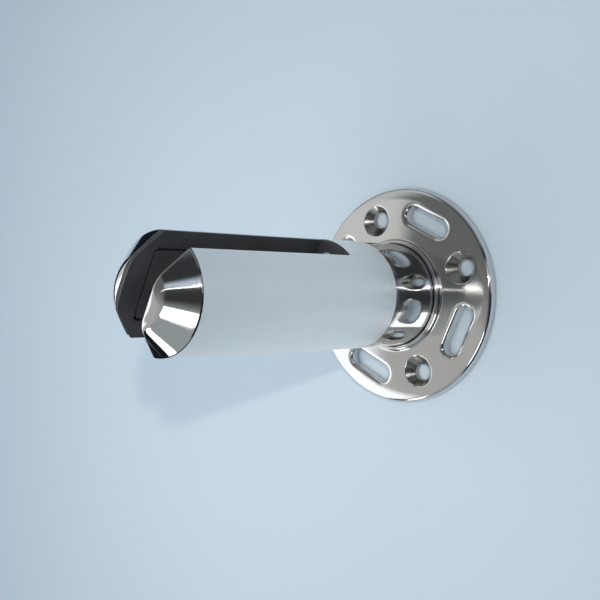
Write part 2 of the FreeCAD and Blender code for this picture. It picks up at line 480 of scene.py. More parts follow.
def jaw_section(side, radius, wall, edge, z):
    """One level ring round a jaw: along the outer arc, round an edge, along the flat wall, and back."""
    depth = abs(wall) + edge
    across = math.sqrt((radius - edge) ** 2 - depth ** 2)
    start = math.atan2(depth, across)
    arc = [polar(radius, a) for a in np.linspace(start, math.pi - start, ARC_STEPS + 1)]
    corner = [polar(edge, a, across, depth) for a in np.linspace(start, -math.pi / 2, EDGE_STEPS + 1)]
    mirrored = [(-x, y) for x, y in corner]
    return [(x, side * y, z) for x, y in arc + mirrored[1:] + corner[:0:-1]]


def jaw_rows(side, wall, heights):
    """All of a jaw's rings from the slot floor to the flat top."""
    top_edge = HEAD_EDGE[side]
    rows = []
    for z in heights:
        edge = JAW_EDGE * min(1.0, (z - SLOT_FLOOR) / 1.0)
        rows.append(jaw_section(side, BODY_R, wall, edge, z))
    profile, crown = head_profile()
    for radius, z in profile:
        edge = JAW_EDGE + (top_edge - JAW_EDGE) * min(1.0, max(0.0, (z - CONE_BASE) / EDGE_GROWTH))
        rows.append(jaw_section(side, radius, wall, edge, z))
    for radius, z in crown:
        over = max(0.0, z - (HEIGHT - top_edge))
        step_in = top_edge - math.sqrt(max(0.0, top_edge ** 2 - over ** 2))
        if radius - top_edge < math.hypot(abs(wall) + step_in + top_edge, LEAST_HALF_TOP):
            break
        rows.append(jaw_section(side, radius, abs(wall) + step_in, top_edge, z))
    return rows


def rounded_rectangle(half, bottom, top, corner, y, grow=0.0):
    """Closed upright ring at one Y, with round corners."""
    centres = ((half - corner, top - corner, 0), (corner - half, top - corner, 90),
               (corner - half, bottom + corner, 180), (half - corner, bottom + corner, 270))
    ring = []
    for centre_x, centre_z, first in centres:
        for a in sweep(first, first + 90, 9):
            x, z = polar(corner + grow, a, centre_x, centre_z)
            ring.append((x, y, z))
    return ring


def pocket_ring(y, grow=0.0):
    """Upright ring of the pressure plate's pocket at one Y."""
    return rounded_rectangle(POCKET_HALF, POCKET_BOTTOM, POCKET_TOP, POCKET_CORNER, y, grow)


def upright(ring):
    """The flat (x, z) places of an upright ring."""
    return [(x, z) for x, _, z in ring]


def level(ring):
    """The flat (x, y) places of a level ring."""
    return [(x, y) for x, y, _ in ring]


def bore_ring(radius, height, y=None, drop=0.0):
    """Ring of a bore across the body: at one Y, or drop below the barrel's surface."""
    ring = []
    for a in full_turn(TURNED):
        x, z = polar(radius, a, 0.0, height)
        ring.append((x, y if y is not None else math.sqrt(BODY_R ** 2 - x * x) - drop, z))
    return ring


def lay_jaw(skin, rows, side, window, wall_holes):
    """Faces of one jaw. window is the band of rows that bores pierce, left for pierced_barrel."""
    arc_end = ARC_STEPS
    wall_from = ARC_STEPS + EDGE_STEPS
    wall_to = wall_from + 1
    flat_rows = sum(1 for row in rows if row[0][2] <= HEIGHT - HEAD_EDGE[side]) - 1
    barrel_end = sum(1 for row in rows if row[0][2] <= CONE_BASE - SHOULDER_ROUND * TAN_EIGHTH + 1e-6)
    for index, (first, second) in enumerate(zip(rows, rows[1:])):
        face = SATIN_FACE if index < barrel_end else MIRROR_FACE
        if not (window and window[0] <= index < window[1]):
            skin.strip(first[:arc_end + 1], second[:arc_end + 1], face, closed=False)
        skin.strip(first[arc_end:wall_from + 1], second[arc_end:wall_from + 1], MIRROR_FACE, closed=False)
        if index >= flat_rows:
            skin.strip(first[wall_from:wall_to + 1], second[wall_from:wall_to + 1], MIRROR_FACE, closed=False)
        skin.strip(first[wall_to:] + first[:1], second[wall_to:] + second[:1], MIRROR_FACE, closed=False)
    wall_rows = rows[:flat_rows + 1]
    y = wall_rows[0][wall_from][1]
    outline = [(row[wall_to][0], row[wall_to][2]) for row in wall_rows]
    outline += [(row[wall_from][0], row[wall_from][2]) for row in reversed(wall_rows)]
    skin.fill([outline] + wall_holes, lambda u, v: (u, y, v), CUT_FACE)
    top = rows[-1][0][2]
    skin.fill([level(rows[-1])], lambda u, v: (u, v, top), MIRROR_FACE)


def pierced_barrel(skin, rows, window):
    """The clamping jaw's outer surface round the two screw bores, with the bores themselves."""
    band = rows[window[0]:window[1] + 1]

    def unroll(point):
        return (BODY_R * math.atan2(point[1], point[0]), point[2])

    def roll(u, v):
        return (*polar(BODY_R, u / BODY_R), v)

    outline = [unroll(p) for p in band[0][:ARC_STEPS + 1]]
    outline += [unroll(row[ARC_STEPS]) for row in band[1:]]
    outline += [unroll(p) for p in band[-1][ARC_STEPS - 1::-1]]
    outline += [unroll(row[0]) for row in band[-2:0:-1]]
    mouths = [bore_ring(SCREW_BORE + BORE_CHAMFER, z) for z in SCREW_HEIGHTS.values()]
    clearance = SCREW_BORE + 1.2
    inner = []
    for row in band[1:-1]:
        for point in row[1:ARC_STEPS]:
            clear = min(math.hypot(point[0], point[2] - z) for z in SCREW_HEIGHTS.values())
            if clear > clearance:
                inner.append(unroll(point))
    skin.fill([outline] + [[unroll(p) for p in mouth] for mouth in mouths], roll, SATIN_FACE, inner)
    for height, mouth in zip(SCREW_HEIGHTS.values(), mouths):
        edge = bore_ring(SCREW_BORE, height, drop=BORE_CHAMFER)
        skin.rings([mouth, edge, bore_ring(SCREW_BORE, height, POCKET_BACK)], CUT_FACE)


def clamp_pocket(skin, mouth):
    """Pocket for the pressure plate, from its rounded mouth to the back with the two bores."""
    rings = [mouth]
    for a in sweep(0, 90, 4)[1:]:
        rings.append(pocket_ring(SLOT_FAR + JAW_EDGE * (1 - math.cos(a)), JAW_EDGE * (1 - math.sin(a))))
    back = pocket_ring(POCKET_BACK)
    skin.rings(rings + [back], CUT_FACE)
    bores = [upright(bore_ring(SCREW_BORE, z, POCKET_BACK)) for z in SCREW_HEIGHTS.values()]
    skin.fill([upright(back)] + bores, lambda u, v: (u, POCKET_BACK, v), CUT_FACE)


def body_turns():
    """Angles round the body that include both jaws' own points and the slot's corners."""
    near = math.asin(-SLOT_NEAR / BODY_R)
    far = math.asin(SLOT_FAR / BODY_R)
    turns = list(np.linspace(-near, far, GAP_STEPS + 1))[:-1]
    turns += list(np.linspace(far, math.pi - far, ARC_STEPS + 1))[:-1]
    turns += list(np.linspace(math.pi - far, math.pi + near, GAP_STEPS + 1))[:-1]
    turns += list(np.linspace(math.pi + near, 2 * math.pi - near, ARC_STEPS + 1))[:-1]
    return turns


def lower_body(skin):
    """Neck, step and barrel up to the slot floor, with the bolt bore and pin hole underneath."""
    turns = body_turns()

    def ring(radius, z):
        return [(*polar(radius, a), z) for a in turns]

    foot = ring(NECK_R - NECK_BREAK, SEAT_Z)
    neck = [foot, ring(NECK_R, SEAT_Z + NECK_BREAK)]
    neck += [ring(NECK_R, z) for z in np.linspace(NECK_START, NECK_TOP, 8)]
    neck += [ring(BODY_R - STEP_ROUND * (1 - math.sin(a)), NECK_TOP + STEP_ROUND * (1 - math.cos(a)))
             for a in sweep(0, 90, 4)]
    skin.rings(neck, MIRROR_FACE)
    barrel = [neck[-1]] + [ring(BODY_R, z) for z in np.linspace(BARREL_START, SLOT_FLOOR, 5)]
    skin.rings(barrel, SATIN_FACE)
    bolt = circle(BOLT_R, SEAT_Z, 64)
    bolt_end = circle(BOLT_R, BOLT_BORE_TOP, 64)
    pin = circle(PIN_R, SEAT_Z, 40, 0.0, PIN_PLACE)
    pin_end = circle(PIN_R, pin_high.z, 40, 0.0, PIN_PLACE)
    skin.fill([level(foot), level(bolt), level(pin)], lambda u, v: (u, v, SEAT_Z), CUT_FACE)
    for mouth, end in ((bolt, bolt_end), (pin, pin_end)):
        skin.strip(mouth, end, CUT_FACE)
        skin.fill([level(end)], lambda u, v, z=end[0][2]: (u, v, z), CUT_FACE)
    gap_ends = 2 * GAP_STEPS + ARC_STEPS
    floor = barrel[-1][:GAP_STEPS + 1] + barrel[-1][GAP_STEPS + ARC_STEPS:gap_ends + 1]
    skin.fill([level(floor)], lambda u, v: (u, v, SLOT_FLOOR), CUT_FACE)


def wall_ledge(skin):
    """Small ledge across the fixed jaw that its liner stands on."""
    soft = 0.2
    back = SLOT_NEAR - 0.2
    rows = []
    levels = ((LEDGE_BOTTOM, soft), (LEDGE_BOTTOM + soft, 0.0), (LEDGE_TOP - soft, 0.0), (LEDGE_TOP, soft))
    for z, inset in levels:
        front = SLOT_NEAR + LEDGE_DEPTH - inset
        side = []
        for y in np.linspace(back, front, 5):
            side.append((math.sqrt((BODY_R - 0.05 - inset) ** 2 - y * y), y, z))
        side[-1] = (side[-1][0] - soft, front, z)
        rows.append(side + [(-x, y, height) for x, y, height in reversed(side)])
    skin.rings(rows, CUT_FACE)
    skin.fill([level(rows[0])], lambda u, v: (u, v, LEDGE_BOTTOM), CUT_FACE)
    skin.fill([level(rows[-1])], lambda u, v: (u, v, LEDGE_TOP), CUT_FACE)


def spigot_body():
    """The post: its round lower part, its two jaws, the pierced barrel, the pocket and the ledge."""
    skin = Skin()
    lower_body(skin)
    low = [SLOT_FLOOR, SLOT_FLOOR + 0.25, SLOT_FLOOR + 0.5, SLOT_FLOOR + 1.0, 72.0, 80.0]
    band = list(np.arange(*BORE_BAND, 2.0))
    heights = low + band + [154.0]
    near = jaw_rows(-1, SLOT_NEAR, heights)
    far = jaw_rows(1, SLOT_FAR, heights)
    window = (len(low), len(low) + len(band) - 1)
    mouth = pocket_ring(SLOT_FAR, JAW_EDGE)
    lay_jaw(skin, near, -1, None, [])
    lay_jaw(skin, far, 1, window, [upright(mouth)])
    pierced_barrel(skin, far, window)
    clamp_pocket(skin, mouth)
    wall_ledge(skin)
    finished("spigot_body_shell", skin, METALS, "post", ["spigot_body"])


spigot_body()

# ---- Base flange

LIP_STEPS = 6
GRID_STEP = 0.9
GRID_CLEARANCE = 0.45
LONGEST_HOLE = 20.0
PLATE_METALS = (BUFFED, CUT_STEEL, SHADED_SINK_STEEL)
BUFFED_FACE, UNDER_FACE, SHADED_SINK_FACE = 0, 1, 2


def dish(radius):
    """Height of the shallow cone that the plate's top follows."""
    return DISH_Z + DISH_SLOPE * (RIM_EDGE - radius)


FILLET_R = BEAD_OUTER + HUB_ROUND
FILLET_Z = dish(FILLET_R) + HUB_ROUND / math.cos(DISH_TILT)
FOOT = FILLET_R - HUB_ROUND * math.sin(DISH_TILT)


def plate_top(radius):
    """Height of the dished top, which falls more steeply towards the rim."""
    fall = max(0.0, (radius - FALL_START) / (RIM_EDGE - FALL_START))
    return dish(radius) - FALL_DEPTH * fall ** 2


def plate_point(x, y):
    """The place on the plate's top over a flat place."""
    return (x, y, plate_top(math.hypot(x, y)))


def stadium(quarter, offset, z=None, drop=0.0):
    """Ring of a long hole grown by offset: level at z, or drop below the plate's top."""
    turn = math.radians(90 * quarter)
    radius = SLOT_HALF_WIDTH + offset
    flat = []
    for centre, first in ((SLOT_RUN, 0), (-SLOT_RUN, 180)):
        flat += [polar(radius, a, SLOT_CIRCLE, centre) for a in sweep(first, first + 180, 25)]
        for share in np.linspace(0, 1, 12)[1:-1]:
            side = SLOT_CIRCLE - radius if first == 0 else SLOT_CIRCLE + radius
            flat.append((side, centre - 2 * centre * share))
    ring = []
    for x, y in flat:
        px = x * math.cos(turn) - y * math.sin(turn)
        py = x * math.sin(turn) + y * math.cos(turn)
        ring.append((px, py, z if z is not None else plate_point(px, py)[2] - drop))
    return ring


def sink_ring(quarter, offset, on_cone):
    """Ring near where a countersink meets the top, grown by offset, on the top or on the cone."""
    turn = math.radians(90 * quarter + 45)
    centre = polar(HOLE_CIRCLE, turn)
    ring = []
    for a in full_turn(TURNED):
        reach = SINK_R
        for _ in range(12):   # closes in on the radius where the cone and the top are equally high
            reach = HOLE_R + plate_point(*polar(reach, a, *centre))[2] - SINK_FOOT
        reach += offset
        point = plate_point(*polar(reach, a, *centre))
        ring.append((point[0], point[1], SINK_FOOT + reach - HOLE_R) if on_cone else point)
    return ring


def lay_long_hole(skin, quarter):
    """Rounded lip, wall and broken lower edge of a long hole. Returns its mouth and its underside ring."""
    rings = []
    for step in range(LIP_STEPS + 1):
        a = math.radians(90 * step / LIP_STEPS)
        offset = LIP_WIDTH * (1 - math.sin(a))
        rings.append(stadium(quarter, offset, drop=SLOT_LIP * (1 - math.cos(a))))
    under = stadium(quarter, UNDER_BREAK / 2, z=0.0)
    rings += [stadium(quarter, 0.0, z=UNDER_BREAK / 2), under]
    skin.rings(rings, BUFFED_FACE)
    return rings[0], under


def lay_screw_hole(skin, quarter):
    """Softened countersink, hole and broken lower edge. Returns its mouth and its underside ring."""
    turn = math.radians(90 * quarter + 45)
    centre = polar(HOLE_CIRCLE, turn)
    mouth = sink_ring(quarter, SINK_SOFT, False)
    middle = [(x, y, z - SINK_DROP) for x, y, z in sink_ring(quarter, 0.0, False)]
    edge = sink_ring(quarter, -SINK_SOFT, True)
    skin.rings([mouth, middle, edge], BUFFED_FACE)
    rings = [edge]
    for radius, z in ((HOLE_R + 0.1, SINK_FOOT + 0.1), (HOLE_R, SINK_FOOT - 0.1),
                      (HOLE_R, UNDER_BREAK / 2), (HOLE_R + UNDER_BREAK / 2, 0.0)):
        rings.append(circle(radius, z, TURNED, *centre))
    # The countersink cones and hole walls take the darker steel, whose tone is painted shade.
    skin.rings(rings, SHADED_SINK_FACE)
    return mouth, rings[-1]


def plate_grid(mouths):
    """Points over the plate's top, clear of the holes' mouths."""
    rows = np.arange(FOOT + GRID_STEP, RIM_EDGE - 0.3, GRID_STEP)
    points = np.array([polar(radius, a) for radius in rows for a in full_turn(AROUND)])
    keep = np.ones(len(points), bool)
    for mouth in mouths:
        ring = np.array(level(mouth))
        centre = ring.mean(axis=0)
        keep &= ~inside(points, ring)
        near = np.linalg.norm(points - centre, axis=1) < LONGEST_HOLE
        gaps = np.linalg.norm(points[near][:, None] - ring[None], axis=2).min(axis=1)
        close = np.zeros(len(points), bool)
        close[np.flatnonzero(near)[gaps < GRID_CLEARANCE]] = True
        keep &= ~close
    return points[keep].tolist()


def plate_side(rim):
    """Rings from the top's edge over the rounded rim and down to the broken lower edge."""
    start = math.radians(RIM_START)
    half_width = RIM_STEP / (1 - math.sin(start))
    half_height = (plate_top(RIM_EDGE) - RIM_HEIGHT) / math.cos(start)
    side = [rim]
    for a in np.linspace(start, math.pi / 2, 12)[1:]:
        radius = PLATE_R - half_width + half_width * math.sin(a)
        side.append(circle(radius, RIM_HEIGHT + half_height * math.cos(a)))
    return side + [circle(PLATE_R, UNDER_BREAK), circle(PLATE_R - UNDER_BREAK, 0.0)]


def plate_seat(skin, head, seat):
    """The bolt's way through the plate, and the flat seat under the post with its pin hole."""
    bolt_way = [head, circle(BOLT_HEAD_R, BOLT_HEAD_FLOOR)]
    bolt_way.append(circle(BOLT_R, BOLT_HEAD_FLOOR + BOLT_HEAD_HEIGHT))
    bolt_way.append(circle(BOLT_R, SEAT_Z))
    skin.rings(bolt_way, UNDER_FACE)
    pin = circle(PIN_R, SEAT_Z, 40, 0.0, PIN_PLACE)
    pin_end = circle(PIN_R, pin_low.z, 40, 0.0, PIN_PLACE)
    skin.fill([level(seat), level(bolt_way[-1]), level(pin)], lambda u, v: (u, v, SEAT_Z), UNDER_FACE)
    skin.strip(pin, pin_end, UNDER_FACE)
    skin.fill([level(pin_end)], lambda u, v: (u, v, pin_low.z), UNDER_FACE)


def hub_rings(seat, foot):
    """Rings up the seat's bore past the seal groove, over the bead and down its fillet to the top."""
    bead = [seat]
    for radius, z in ((SEAT_BORE, SEAL_LOW), (SEAL_GROOVE, SEAL_LOW),
                      (SEAL_GROOVE, SEAL_HIGH), (SEAT_BORE, SEAL_HIGH)):
        bead.append(circle(radius, z))
    for a in sweep(180, 0, 21):
        bead.append(circle(*polar(BEAD_ROUND, a, SEAT_BORE + BEAD_ROUND, BEAD_ROUND_Z)))
    for a in np.linspace(math.pi, 1.5 * math.pi - DISH_TILT, 11)[:-1]:
        bead.append(circle(*polar(HUB_ROUND, a, FILLET_R, FILLET_Z)))
    return bead + [foot]


def base_flange():
    """The round base plate, with its long holes, countersunk holes, rim, underside, seat and hub."""
    skin = Skin()
    mouths, unders = [], []
    for quarter in range(4):
        for lay in (lay_long_hole, lay_screw_hole):
            mouth, under = lay(skin, quarter)
            mouths.append(mouth)
            unders.append(under)
    rim = circle(RIM_EDGE, plate_top(RIM_EDGE))
    foot = circle(FOOT, plate_top(FOOT))
    loops = [level(rim), level(foot)] + [level(m) for m in mouths]
    skin.fill(loops, plate_point, BUFFED_FACE, plate_grid(mouths))
    side = plate_side(rim)
    skin.rings(side, BUFFED_FACE)
    head = circle(BOLT_HEAD_R, 0.0)
    under_loops = [level(side[-1]), level(head)] + [level(u) for u in unders]
    skin.fill(under_loops, lambda u, v: (u, v, 0.0), UNDER_FACE)
    seat = circle(SEAT_BORE, SEAT_Z)
    plate_seat(skin, head, seat)
    skin.rings(hub_rings(seat, foot), BUFFED_FACE)
    finished("base_flange_shell", skin, PLATE_METALS, "post", ["base_flange"])


base_flange()

# ---- Rubber liners and clamp


def jaw_outline(inset, bottom, y, deepest, shrink=0.0):
    """Upright ring round a sheet that lies on a jaw wall: the body's own outline, a little inside."""
    profile, crown = head_profile(inset)
    barrel = [(BODY_R - inset, z) for z in np.linspace(bottom, profile[0][1], 8)[:-1]]
    side = []
    for radius, z in barrel + profile + crown:
        if radius < math.hypot(deepest, LEAST_HALF_TOP):
            break
        x = math.sqrt(radius ** 2 - y * y) - shrink
        side.append((x, y, min(max(z, bottom + shrink), HEIGHT - inset - shrink)))
    return side + [(-x, y, z) for x, y, z in reversed(side)]


def liner(name, node, inset, bottom, back, front, hole):
    """Sheet with softened front edges, and a hole round the pressure plate where it has one."""
    skin = Skin()
    soft = 0.2
    toward = 1 if front > back else -1
    deepest = max(abs(front), abs(back))
    rings = [jaw_outline(inset, bottom, back, deepest)]
    mouths = []
    for a in sweep(0, 90, 5):
        y = front - toward * soft * (1 - math.sin(a))
        rings.append(jaw_outline(inset, bottom, y, deepest, soft * (1 - math.cos(a))))
        grow = soft * (1 - math.cos(a)) if hole else 0
        mouths.append(pocket_ring(y, grow))
    skin.rings(rings)
    back_loops, front_loops = [upright(rings[0])], [upright(rings[-1])]
    if hole:
        back_mouth = pocket_ring(back)
        skin.rings([back_mouth] + mouths)
        back_loops.append(upright(back_mouth))
        front_loops.append(upright(mouths[-1]))
    skin.fill(back_loops, lambda u, v: (u, back, v))
    skin.fill(front_loops, lambda u, v: (u, front, v))
    finished(name, skin, (RUBBER,), "post", [node])


def panel(name, node, low, high, material, front_soft, back_soft, holes=()):
    """Rounded upright plate between two corners, with softened edges and blind holes in its back."""
    skin = Skin()

    def ring(y, inset):
        return rounded_rectangle(high.x, low.z, high.z, PANEL_CORNER, y, -inset)

    rings = []
    for a in sweep(90, 0, 5):
        rings.append(ring(low.y + front_soft * (1 - math.sin(a)), front_soft * (1 - math.cos(a))))
    for a in sweep(0, 90, 4):
        rings.append(ring(high.y - back_soft * (1 - math.sin(a)), back_soft * (1 - math.cos(a))))
    skin.rings(rings)
    skin.fill([upright(rings[0])], lambda u, v: (u, rings[0][0][1], v))
    mouths = []
    for height in holes:
        steps = ((NOSE_HOLE_R, high.y), (NOSE_HOLE_R, GROOVE_BACK), (PLATE_GROOVE_R, GROOVE_BACK),
                 (PLATE_GROOVE_R, GROOVE_FRONT), (NOSE_HOLE_R, GROOVE_FRONT), (NOSE_HOLE_R, NOSE_FLOOR))
        hole = [bore_ring(radius, height, y) for radius, y in steps]
        skin.rings(hole)
        skin.fill([upright(hole[-1])], lambda u, v: (u, NOSE_FLOOR, v))
        mouths.append(upright(hole[0]))
    skin.fill([upright(rings[-1])] + mouths, lambda u, v: (u, rings[-1][0][1], v))
    finished(name, skin, (material,), "clamp_plate", [node])


def setting_block():
    """Rubber strip on the slot floor, with rounded ends and softened upper edges."""
    skin = Skin()
    soft = 0.3
    top = block_high.z
    rings = []
    for inset, z in ((0.0, block_low.z), (0.0, top - soft), (0.1, top - 0.1), (soft, top)):
        side = []
        for y in np.linspace(SLOT_NEAR + inset, SLOT_FAR - inset, 19):
            side.append((math.sqrt((block_high.x - inset) ** 2 - y * y), y, z))
        rings.append(side + [(-x, y, z) for x, y, z in reversed(side)])
    skin.rings(rings)
    for ring in (rings[0], rings[-1]):
        skin.fill([level(ring)], lambda u, v, z=ring[0][2]: (u, v, z))
    finished("setting_block_strip", skin, (RUBBER,), "post", ["setting_block"])


liner("fixed_liner_sheet", "fixed_jaw_liner", NEAR_INSET, near_low.z, SLOT_NEAR, near_high.y, False)
liner("clamp_liner_sheet", "clamp_jaw_liner", FAR_INSET, far_low.z, SLOT_FAR, far_low.y, True)
panel("pressure_pad_sheet", "pressure_pad", pad_low, pad_high, RUBBER, 0.3, 0.05)
panel("pressure_plate_bar", "pressure_plate", press_low, press_high, PLAIN_STEEL, 0.05, 0.3,
      SCREW_HEIGHTS.values())
setting_block()

# ---- Screws, bolt, pin and rings


def along_z(a, b, t):
    """Puts a form turned about Z in place."""
    return (a, b, t)


def spin(rows, place, groove=None):
    """Rings of a turned form: (radius, distance) rows put in place, with an optional thread."""
    rings = []
    for radius, t in rows:
        ring = []
        for a in full_turn(TURNED):
            ring.append(place(*polar(radius - (groove(a, t) if groove else 0.0), a), t))
        rings.append(ring)
    return rings


def threaded(start, end, radius):
    """Rows and the matching groove function for a V thread that fades out at both ends."""
    steps = int(abs(end - start) / THREAD_PITCH * 8)
    rows = [(radius, t) for t in np.linspace(start, end, steps + 1)]

    def groove(a, t):
        fade = min(1.0, abs(t - start) / THREAD_PITCH, abs(t - end) / THREAD_PITCH)
        return THREAD_DEPTH * fade * abs(2 * ((t / THREAD_PITCH - a / (2 * math.pi)) % 1.0) - 1)

    return rows, groove


def socket(skin, flats, mouth, floor, place):
    """Countersunk hexagon socket from a round mouth down to its floor. Returns the mouth ring."""
    inward = 1 if floor > mouth else -1
    rim_r = flats / math.sqrt(3) + 0.15
    rim, edge, low = [], [], []
    for a in full_turn(TURNED):
        wall = flats / 2 / math.cos((a + math.pi / 6) % (math.pi / 3) - math.pi / 6)
        rim.append(place(*polar(rim_r, a), mouth))
        edge.append(place(*polar(wall, a), mouth + inward * (rim_r - wall)))
        low.append(place(*polar(wall, a), floor))
    point = place(0.0, 0.0, floor + inward * 0.4)
    skin.rings([rim, edge, low])
    skin.strip(low, [point] * TURNED)
    return rim


def capped(skin, ring, place, t):
    """Closes a turned form's end."""
    skin.strip(ring, [place(0.0, 0.0, t)] * TURNED)


def clamp_screw(which, height):
    """Socket set screw with a thread and a grooved dog point, along Y."""
    low, high = node_box("clamp_screw_" + which)

    def place(a, b, t):
        return (a, t, height + b)

    skin = Skin()
    radius = high.x
    end = high.y
    rim = socket(skin, SCREW_HEX, end, end - SCREW_HEX_DEPTH, place)
    thread, groove = threaded(end - SCREW_BREAK, SCREW_SHOULDER + SCREW_BREAK, radius)
    skin.rings([rim] + spin([(radius - SCREW_BREAK, end), (radius, end - SCREW_BREAK)], place))
    skin.rings(spin(thread, place, groove))
    neck = [(radius, SCREW_SHOULDER + SCREW_BREAK), (radius - SCREW_BREAK, SCREW_SHOULDER),
            (NOSE_R, SCREW_SHOULDER), (NOSE_R, NOSE_GROOVE_BACK), (NOSE_GROOVE_R, NOSE_GROOVE_BACK),
            (NOSE_GROOVE_R, NOSE_GROOVE_FRONT), (NOSE_R, NOSE_GROOVE_FRONT),
            (NOSE_R, low.y + NOSE_BREAK), (NOSE_R - NOSE_BREAK, low.y)]
    nose = spin(neck, place)
    skin.rings(nose)
    capped(skin, nose[-1], place, low.y)
    finished("clamp_screw_" + which + "_turned", skin, (SCREW_STEEL,), which + "_screw",
             ["clamp_screw_" + which])


def centre_bolt():
    """Countersunk socket bolt seen from underneath, with its threaded shank in the body."""
    skin = Skin()
    head_z = bolt_low.z
    head_r = bolt_high.x
    shank_r = BOLT_R - BOLT_CLEARANCE
    end = bolt_high.z
    soft = 0.25
    rim = socket(skin, BOLT_HEX, head_z, head_z + BOLT_HEX_DEPTH, along_z)
    rows = [(head_r - soft, head_z), (head_r - soft * 0.3, head_z + soft * 0.2),
            (head_r - soft, head_z + soft), (shank_r, head_z + BOLT_HEAD_HEIGHT),
            (shank_r, BOLT_THREAD_START)]
    skin.rings([rim] + spin(rows, along_z))
    thread, groove = threaded(BOLT_THREAD_START, end - SCREW_BREAK, shank_r)
    skin.rings(spin(thread, along_z, groove))
    tip = spin([(shank_r, end - SCREW_BREAK), (shank_r - SCREW_BREAK, end)], along_z)
    skin.rings(tip)
    capped(skin, tip[-1], along_z, end)
    finished("centre_bolt_turned", skin, (SCREW_STEEL,), "post", ["centre_bolt"])


def anti_turn_pin():
    """Dowel that stands upright beside the bolt."""
    def place(a, b, t):
        return (a, PIN_PLACE + b, t)

    skin = Skin()
    soft = 0.3
    rows = [(PIN_R - soft, pin_low.z), (PIN_R, pin_low.z + soft), (PIN_R, pin_high.z - soft),
            (PIN_R - soft, pin_high.z)]
    rings = spin(rows, place)
    skin.rings(rings)
    capped(skin, rings[0], place, pin_low.z)
    capped(skin, rings[-1], place, pin_high.z)
    finished("anti_turn_pin_turned", skin, (PLAIN_STEEL,), "post", ["anti_turn_pin"])


def wire_ring(name, node, major, minor, gap, place, material, body):
    """Ring of round wire, closed or with an opening on its +X side."""
    skin = Skin()
    half = math.asin(gap / 2 / major)
    rings = []
    for a in np.linspace(half, 2 * math.pi - half, 97):
        section = []
        for b in full_turn(16):
            reach, rise = polar(minor, b, major)
            section.append(place(*polar(reach, a), rise))
        rings.append(section)
    skin.rings(rings)
    if gap:
        for section in (rings[0], rings[-1]):
            centre = tuple(np.array(section).mean(axis=0))
            skin.strip(section, [centre] * len(section))
    finished(name, skin, (material,), body, [node])


def snap_ring(which, height):
    """Open wire ring round a screw's point, in the pressure plate's groove."""
    def place(a, b, t):
        return (a, SNAP_PLACE + t, height + b)

    wire_ring("snap_ring_" + which + "_wire", "snap_ring_" + which, SNAP_R, SNAP_WIRE, SNAP_GAP, place,
              SCREW_STEEL, "clamp_plate")


def hub_seal_ring():
    """Rubber cord ring in the groove between post and bead."""
    low, high = node_box("hub_seal_ring")
    middle = (low.z + high.z) / 2
    wire = (high.z - low.z) / 2

    def place(a, b, t):
        return (a, b, middle + t)

    wire_ring("hub_seal_ring_cord", "hub_seal_ring", high.x - wire, wire, 0.0, place,
              RUBBER, "post")


for which_screw, screw_height in SCREW_HEIGHTS.items():
    clamp_screw(which_screw, screw_height)
    snap_ring(which_screw, screw_height)
hub_seal_ring()
centre_bolt()
anti_turn_pin()

# ---- Floor, light and camera

FLOOR_NEAR = 0.45
FLOOR_FAR = 8.0
FLOOR_STEPS = 96
FLOOR_Z = -0.0001
LAMP_PLACE = (0.705, -0.783, 1.07)
LAMP_TARGET = (0.0, 0.0, 0.0)
LAMP_SIZE = 0.06
SOFT_PLACE = (-0.10, 0.06, 0.45)
SOFT_TARGET = (-0.10, 0.06, 0.0)
SOFT_SIZE = 0.34


def floor_piece(name, radii, material, mirrored):
    """Level disk of one radius or ring between two, in metres, which the steel mirrors or doesn't."""
    points = [point for radius in radii for point in circle(radius, FLOOR_Z, FLOOR_STEPS)]
    if len(radii) == 1:
        faces = [tuple(range(FLOOR_STEPS))]
    else:
        faces = [(i, (i + 1) % FLOOR_STEPS, FLOOR_STEPS + (i + 1) % FLOOR_STEPS, FLOOR_STEPS + i)
                 for i in range(FLOOR_STEPS)]
    mesh = bpy.data.meshes.new(name)
    mesh.from_pydata(points, [], faces)
    mesh.materials.append(material)
    floor = bpy.data.objects.new(name, mesh)
    floor.visible_glossy = mirrored
    bpy.context.scene.collection.objects.link(floor)
    floor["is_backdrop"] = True


def pale_floor():
    """Pale surface under the part. Its far part stays out of the steel's reflections."""
    m = Surface("pale_floor")
    cloud = m.noise(m.place(), 5.0, 4.0)
    material = m.shade(Base_Color=m.two_tone(cloud, (0.61, 0.72, 0.79), (0.63, 0.74, 0.81)),
                       Roughness=m.spread(m.noise(m.place(), 40.0, 3.0), 0.62, 0.72),
                       Specular_IOR_Level=0.2)
    floor_piece("floor", (FLOOR_NEAR,), material, True)
    floor_piece("floor_far", (FLOOR_NEAR, FLOOR_FAR), material, False)


